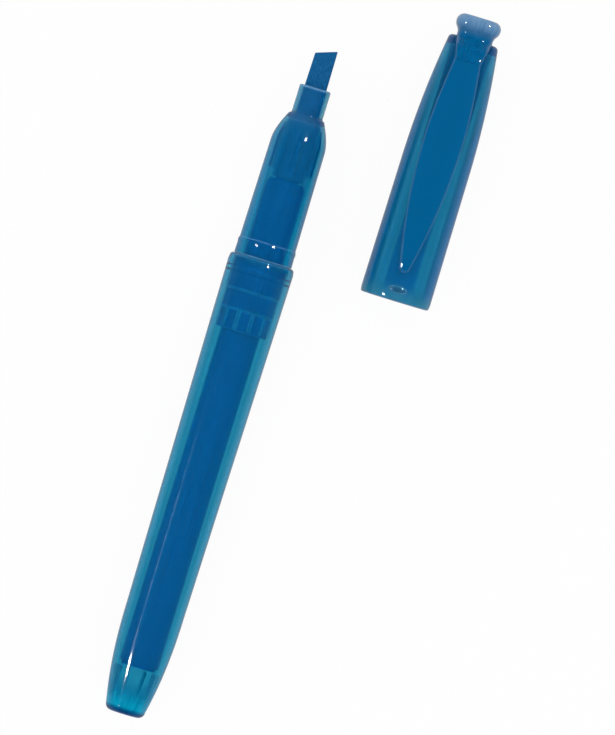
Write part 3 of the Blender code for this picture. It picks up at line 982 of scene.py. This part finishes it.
@dataclass
class Reservoir(Assembly):
    """The fibre core and the film that wraps it."""

    back: float = 8.827 * MM
    front: float = 101.2 * MM
    core_radius: float = 3.2 * MM
    socket_radius: float = 2.4754 * MM
    socket: float = 95.9 * MM
    film_radius: float = 3.7 * MM
    film_wall: float = 0.2 * MM
    film_setback: float = 0.6 * MM
    round: float = 0.06 * MM

    def make(self) -> list[Piece]:
        """Build the core in inked fibre and the film in blue that is hardly clear.

        Returns:
            The core and the film.
        """
        ink, dark = (0.0, 0.2, 0.55), (0.0, 0.17, 0.48)
        fibre = Felt("ink_fibre", ink, dark, grain=2600.0, relief=0.1 * MM)
        film = ClearPlastic("film_blue", share=0.7, haze=(0.0, 0.25, 0.69), streak=0.02, cloud=0.03)
        return [
            self.dress(self.build_core(), fibre, Body.PEN, "ink_reservoir", "ink_reservoir"),
            self.dress(self.build_film(), film, Body.PEN, "reservoir_film", "reservoir_film"),
        ]

    def build_core(self) -> Piece:
        """Turn the core and its socket.

        Returns:
            The core.
        """
        outline = [
            [self.back, POLE],
            [self.back, self.core_radius],
            [self.front, self.core_radius],
            [self.front, self.socket_radius],
            [self.socket, self.socket_radius],
            [self.socket, POLE],
        ]
        return spun("fibre_core", self.axis, softened(np.array(outline), self.round), Ends.CAPPED)

    def build_film(self) -> Piece:
        """Turn the film, from the middle of its back edge round to there again.

        Returns:
            The film.
        """
        back, front = self.back + self.film_setback, self.front - self.film_setback
        bore, middle = self.film_radius - self.film_wall, self.film_radius - self.film_wall / 2
        outline = [
            [back, middle],
            [back, self.film_radius],
            [front, self.film_radius],
            [front, bore],
            [back, bore],
            [back, middle - POLE],
        ]
        return spun("wrap_film", self.axis, softened(np.array(outline), self.round), Ends.JOINED)


@dataclass
class Cap(Assembly):
    """The cap: its shell with the flared head and the clip's root, the sleeve inside, and the clip."""

    radius: float = 6.53 * MM
    draft: float = 0.13 * MM
    waist: float = 25.0 * MM
    depth: float = 47.7 * MM
    length: float = 49.5 * MM
    end_radius: float = 4.8454 * MM
    wall: float = 0.78 * MM
    corner: float = 0.8 * MM
    mouth_round: float = 0.45 * MM
    mouth_dip: float = 0.12 * MM
    mouth_dip_length: float = 1.2 * MM
    pale_mouth: Span = (3.6 * MM, 0.0)
    sleeve_start: float = 29.2 * MM
    sleeve_end: float = 47.4 * MM
    sleeve_radius: float = 3.7654 * MM
    sleeve_bore: float = 3.0154 * MM
    sleeve_chamfer: float = 0.3 * MM
    sleeve_round: float = 0.15 * MM
    clip_top: float = 8.774 * MM
    clip_thickness: float = 1.25 * MM
    clip_width: float = 7.2 * MM
    clip_belly: float = 30.5 * MM
    clip_root_width: float = 4.8 * MM
    clip_tip_width: float = 2.0 * MM
    clip_tip: float = 5.3 * MM
    clip_tip_turn: float = math.radians(86)
    clip_tip_power: float = 2.3
    clip_tip_edge: float = 0.3 * MM
    clip_nub: float = 4.0 * MM
    clip_gap: float = 0.7 * MM
    clip_droop: float = 0.3 * MM
    clip_droop_start: float = 8.0 * MM
    crease: float = 45.3 * MM
    crease_bend: float = 0.45
    seam: float = 0.052 * MM
    plate_power: float = 4.0
    head_width: float = 6.7 * MM
    head_neck: float = 0.5 * MM
    head_top: float = 6.5 * MM
    head_base: float = 2.6 * MM
    head_fillet: float = 1.6 * MM
    head_lip: float = 1.9 * MM
    head_rim: float = 1.385 * MM
    head_flare: float = math.radians(40)
    head_close: float = math.radians(75)
    head_power: float = 3.5
    # where the haze pales over the head's flared lip: a painted reflection
    head_painted_reflection: Span = (49.5 * MM, 53.4 * MM)
    pad_length: float = 3.45 * MM
    pad_width: float = 1.35 * MM
    pad_height: float = 0.3 * MM
    pad_station: float = 2.1 * MM
    pad_pole: float = 0.01
    pad_edge: Span = (0.8, 0.9)

    def make(self) -> list[Piece]:
        """Build the shell in hazy blue with painted shade down its middle and along its edges, the head with
        a painted reflection, and the rest each in a blue of its own.

        Returns:
            Its pieces.
        """
        shell = ClearPlastic(
            "cap_blue",
            share=0.3,
            streak=0.25,
            haze=(0.0, 0.15, 0.435),
            pale=(0.05, 0.29, 0.44),
            pale_share=0.55,
            pale_span=self.axis.span(*self.pale_mouth),
            # painted shade down the cap's middle and along its edges
            shade_band_middle=self.axis.x,
        )
        head = ClearPlastic(
            "head_blue",
            share=0.65,
            haze=(0.0, 0.175, 0.44),
            # painted reflection: the haze pales to grey-blue over the head's flared lip
            pale=(0.21, 0.38, 0.6),
            pale_span=self.axis.span(*self.head_painted_reflection),
        )
        # the pad's edge colour is a painted highlight round its outline
        pad = ClearPlastic("pad_blue", edge=(0.15, 0.34, 0.5), edge_highlight_share=0.6)
        sleeve = ClearPlastic("sleeve_blue", share=0.5, haze=(0.0, 0.15, 0.40))
        leaf = ClearPlastic("clip_blue", share=0.65, haze=(0.0, 0.16, 0.4), streak=0.02, cloud=0.02)
        return [
            self.dress(self.build_shell(), shell, Body.CAP, "cap_shell", "cap"),
            self.dress(self.build_head(), head, Body.CAP, "cap_shell", "cap"),
            self.dress(self.build_pad(), pad, Body.CAP, "cap_shell", "cap"),
            self.dress(self.build_sleeve(), sleeve, Body.CAP, "inner_seal_sleeve", "seal_sleeve"),
            self.dress(self.build_clip(), leaf, Body.CLIP, "clip_arm", "clip"),
        ]

    def skin(self, stations: np.ndarray) -> np.ndarray:
        """Outer radius: a draft to the waist, less a square past it and a squared cosine at the mouth.

        Args:
            stations: Along the cap.

        Returns:
            Radii.
        """
        past = np.maximum((stations - self.waist) / (self.depth - self.waist), 0)
        draft = self.draft * part(stations, 0, self.waist)
        dip = self.mouth_dip * np.cos(np.pi / 2 * part(stations, 0, self.mouth_dip_length)) ** 2
        return self.radius - draft - dip - (self.radius - self.draft - self.end_radius) * past**2

    def build_shell(self) -> Piece:
        """Turn the shell.

        Returns:
            The shell.
        """
        end = self.length - self.corner
        mouth = at(self.skin, self.mouth_round) - self.mouth_round
        outline = np.vstack([
            [[self.length, POLE]],
            arc(end, at(self.skin, end) - self.corner, self.corner, 0, 90),
            run(self.skin, end, self.waist)[1:],
            run(self.skin, self.waist, self.mouth_dip_length)[1:],
            run(self.skin, self.mouth_dip_length, self.mouth_round)[1:],
            arc(self.mouth_round, mouth, self.mouth_round, 90, 180)[1:],
            run(lambda stations: self.skin(stations) - self.wall, 0, self.depth),
            [[self.depth, POLE]],
        ])
        return spun("cap_moulding", self.axis, outline, Ends.CAPPED, corners(outline))

    def build_head(self) -> Piece:
        """Loft the clip's root and the flared head in one.

        The root's plate slopes down to the head on a foot in the cap's wall, which sinks through the end
        wall to the head's base. Offsets follow a fillet's arc outwards, a lip's arc to the widest place
        and the rim's arc inwards.

        Returns:
            The head.
        """
        start = self.length + self.head_neck
        both = self.head_fillet + self.head_lip
        widest, flare = start + both * np.sin(self.head_flare), both * (1 - np.cos(self.head_flare))
        root = np.linspace(self.crease + self.seam / 2, start, ROWS)[:-1]
        out = np.linspace(0, self.head_flare, TURN_ROWS)
        lip = np.linspace(self.head_flare, 0, TURN_ROWS)[1:]
        rim = np.linspace(0, -self.head_close, 2 * TURN_ROWS)[1:]
        sizes = np.repeat((self.head_lip, self.head_rim), (len(lip), len(rim)))
        turn = np.concatenate((lip, rim))
        rise, fall = start + self.head_fillet * np.sin(out), widest - sizes * np.sin(turn)
        stations = np.concatenate((root, rise, fall))
        outwards, inwards = self.head_fillet * (1 - np.cos(out)), flare - sizes * (1 - np.cos(turn))
        offset = np.concatenate((np.zeros_like(root), outwards, inwards))
        share = part(stations, self.crease, self.length)
        bend = np.minimum(share, self.crease_bend)
        slope = (share - bend + bend**2 / (2 * self.crease_bend)) / (1 - self.crease_bend / 2)
        sink = part(stations, self.depth, self.length - self.corner / 2)
        half = (self.clip_root_width + (self.head_width - self.clip_root_width) * share) / 2 + offset
        top = self.clip_top + (self.head_top - self.clip_top) * slope + offset
        power = self.plate_power + (self.head_power - self.plate_power) * sink
        across, plate = rounded_box(half, top - self.clip_thickness, top, power)
        _, whole = rounded_box(half, -self.head_base - offset, top, power)
        wall = self.skin(np.minimum(stations, self.length))[:, None] - self.wall / 2
        foot = np.sqrt(np.maximum(wall**2 - across**2, 0))
        plate = np.where(plate > top[:, None] - self.clip_thickness / 2, plate, foot)
        up = plate + (whole - plate) * sink[:, None]
        # painted highlight along the sides of the root's plate and the head
        edge = sides(across, half) * (up > top[:, None] - self.clip_thickness)
        return skin("flared_head", self.axis.place(across, stations[:, None], up), Ends.CAPPED, edge)

    def build_pad(self) -> Piece:
        """Wrap a flattened ball on the cap's skin: its breadth becomes an angle round the axis.

        Returns:
            The pad.
        """
        polar = np.linspace(self.pad_pole, np.pi - self.pad_pole, ROWS)[:, None]
        around = round_angles(PLATE_COLUMNS)[None, :]
        across, along = np.sin(polar) * np.cos(around), np.sin(polar) * np.sin(around)
        middle = at(self.skin, self.pad_station)
        turn = across * self.pad_length / 2 / middle
        height = middle + self.pad_height * np.cos(polar)
        station = self.pad_station + along * self.pad_width / 2
        rings = self.axis.place(height * np.sin(turn), station, height * np.cos(turn))
        # painted highlight round the pad's edge
        edge = np.repeat(np.interp(np.sin(polar), self.pad_edge, (0, 1)), PLATE_COLUMNS, axis=1)
        return skin("oval_pad", rings, Ends.CAPPED, edge)

    def build_sleeve(self) -> Piece:
        """Turn the sleeve that closes over the neck.

        Returns:
            The sleeve.
        """
        lead = self.sleeve_start + self.sleeve_chamfer
        outline = [
            [lead, self.sleeve_bore],
            [self.sleeve_start, self.sleeve_bore + self.sleeve_chamfer],
            [self.sleeve_start, self.sleeve_radius],
            [self.sleeve_end, self.sleeve_radius],
            [self.sleeve_end, self.sleeve_bore],
            [lead + POLE, self.sleeve_bore],
        ]
        soft = softened(np.array(outline), self.sleeve_round)
        return spun("seal_sleeve", self.axis, soft, Ends.JOINED, corners(soft))

    def half_width(self, stations: np.ndarray) -> np.ndarray:
        """Half the clip's width: a sine from the root to the belly, then less a square towards the tip.

        Args:
            stations: Along the cap.

        Returns:
            Half widths.
        """
        belly, root, tip = self.clip_width / 2, self.clip_root_width / 2, self.clip_tip_width / 2
        fall = part(stations, self.clip_belly, self.clip_tip + tip)
        rise = np.sin(np.pi / 2 * part(stations, self.crease, self.clip_belly))
        swell = root + (belly - root) * rise
        return np.where(stations > self.clip_belly, swell, belly - (belly - tip) * fall**2)

    def build_clip(self) -> Piece:
        """Loft the leaf: flat plates with a nub under the tip.

        The tip droops by a square of the distance, grows rounder and closes on a half circle.

        Returns:
            The clip.
        """
        tip = self.clip_tip_width / 2
        straight = np.linspace(self.crease - self.seam / 2, self.clip_tip + tip, 2 * ROWS)
        close = np.linspace(0, self.clip_tip_turn, TURN_ROWS)[1:]
        stations = np.concatenate((straight, self.clip_tip + tip * (1 - np.sin(close))))
        half = np.concatenate((self.half_width(straight), tip * np.cos(close)))
        nub = self.clip_gap * np.sin(np.pi * part(stations, self.clip_tip, self.clip_tip + self.clip_nub))
        droop = part(stations, self.clip_droop_start, self.clip_tip)
        top = self.clip_top - self.clip_droop * droop**2
        power = self.plate_power + (self.clip_tip_power - self.plate_power) * droop
        across, up = rounded_box(half, self.clip_top - self.clip_thickness - nub, top, power)
        # painted highlight along the clip's sides and round its tip
        edge = np.maximum(sides(across, half), (stations < self.clip_tip + self.clip_tip_edge)[:, None])
        return skin("clip_leaf", self.axis.place(across, stations[:, None], up), Ends.CAPPED, edge)


@dataclass(frozen=True)
class Lamp:
    """An area lamp for highlights, which faces the object, with its length as near to y as can be.

    Args:
        name: Of the lamp.
        place: Its middle.
        size: Its width and length.
        power: In watts.
        through: Whether it is also seen through the plastic.
    """

    name: str
    place: Point
    size: Span
    power: float
    through: bool = False

    def build(self) -> None:
        """Hang the lamp."""
        light = bpy.data.lights.new(self.name, "AREA")
        light.shape, light.energy = "RECTANGLE", self.power
        light.size, light.size_y = self.size
        lamp = linked(self.name, light)
        lamp.location = self.place
        lamp.visible_diffuse, lamp.visible_transmission = False, self.through
        away = Vector(self.place).normalized()
        side = Vector((0, 1, 0)).cross(away).normalized()
        lamp.rotation_euler = Matrix((side, away.cross(side), away)).transposed().to_euler()


@dataclass
class Studio:
    """White floor, even sky that mirrors show only at its edge, lamps and the camera straight above."""

    floor_size: float = 3.0
    floor_colour: Colour = (0.9, 0.9, 0.9)
    floor_glow: float = 0.95
    floor_glow_through: float = 0.8
    floor_mirrored: Span = (0.45, 0.04)
    floor_fade: Span = (0.015, 0.09)
    sky: float = 1.0
    sky_edge: Span = (0.0, 0.35)
    sky_mirrored: Span = (0.2, 0.01)
    lamps: tuple[Lamp, ...] = (
        Lamp("left_lamp", (-0.66, -0.30, 0.76), (0.09, 0.09), 5.0),
        Lamp("left_strip", (-0.70, -0.175, 0.72), (0.03, 0.25), 0.15, through=True),
        Lamp("right_lamp", (0.38, 0.48, 0.80), (0.12, 0.12), 6.0),
        Lamp("right_spot", (0.38, 0.40, 0.80), (0.06, 0.06), 0.15, through=True),
    )
    camera_turn: float = math.radians(17.06)
    camera_height: float = 2.0
    view_height: float = 0.1336
    view_x: float = 0.81 * MM
    view_y: float = 0.106 * MM
    object_plane: float = 6.3 * MM

    def build(self) -> None:
        """Set up everything that isn't the object."""
        self.build_floor()
        self.build_sky()
        for lamp in self.lamps:
            lamp.build()
        self.build_camera()
        bpy.context.scene.view_settings.view_transform = "Standard"

    def build_floor(self) -> None:
        """A matt floor that looks white, keeps part of the shadow, and dims in mirrors far from it."""
        half = self.floor_size / 2
        mesh = bpy.data.meshes.new("floor")
        outline = [(-half, -half, 0), (half, -half, 0), (half, half, 0), (-half, half, 0)]
        mesh.from_pydata(outline, [], [(0, 1, 2, 3)])
        floor = linked("floor", mesh)
        material = bpy.data.materials.new("white_floor")
        nodes = Nodes(material)
        path = nodes.add("LightPath").outputs
        mirrored = nodes.mirrored()
        through = nodes.reckon("MULTIPLY", path["Is Transmission Ray"], self.floor_glow_through)
        seen = nodes.reckon("MULTIPLY_ADD", path["Is Camera Ray"], self.floor_glow, through)
        fade = nodes.ranged(path["Ray Length"], self.floor_fade, self.floor_mirrored)
        matt = nodes.add("BsdfDiffuse", {"Color": (*self.floor_colour, 1)}).outputs[0]
        white = nodes.add("Emission", {"Strength": nodes.level(1.0, mirrored, fade)}).outputs[0]
        nodes.put_out(nodes.add("MixShader", {0: nodes.reckon("MAXIMUM", seen, mirrored), 1: matt, 2: white}))
        mesh.materials.append(material)

    def build_sky(self) -> None:
        """Even light from all round, which reflections see only near the horizon."""
        world = bpy.data.worlds.new("sky")
        bpy.context.scene.world = world
        nodes = Nodes(world)
        up = nodes.place("Z", "Generated")
        edge = nodes.ranged(up, self.sky_edge, self.sky_mirrored, smooth=True)
        strength = nodes.level(self.sky, nodes.mirrored(), edge)
        nodes.put_out(nodes.add("Background", {"Color": WHITE, "Strength": strength}))

    def build_camera(self) -> None:
        """A long lens straight above, turned so that the pen leans as in the photo."""
        data = bpy.data.cameras.new("camera")
        data.lens = data.sensor_width * (self.camera_height - self.object_plane) / self.view_height
        camera = linked("camera", data)
        camera.location = (self.view_x, self.view_y, self.camera_height)
        camera.rotation_euler = (0, 0, self.camera_turn)
        bpy.context.scene.camera = camera


def axis_of(middle_of: str, start_of: str) -> Axis:
    """The axis of a round CAD node, with station 0 at another node's low end."""
    middle = sum(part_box(middle_of), Vector()) / 2
    return Axis(middle.x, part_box(start_of)[0].y, middle.z)


def main() -> None:
    """Build and dress every piece, log their faces and light the scene."""
    logging.basicConfig(level=logging.INFO, format="%(name)s %(message)s")
    pen, cap = axis_of("barrel", "barrel"), axis_of("inner_seal_sleeve", "cap_shell")
    barrel = Barrel(pen)
    for assembly in (barrel, Nose(pen, barrel), Nib(pen), Reservoir(pen), Cap(cap)):
        for piece in assembly.make():
            log.info("%s: %d faces", piece.name, len(piece.data.polygons))
    Studio().build()


if __name__ == "__main__":
    main()
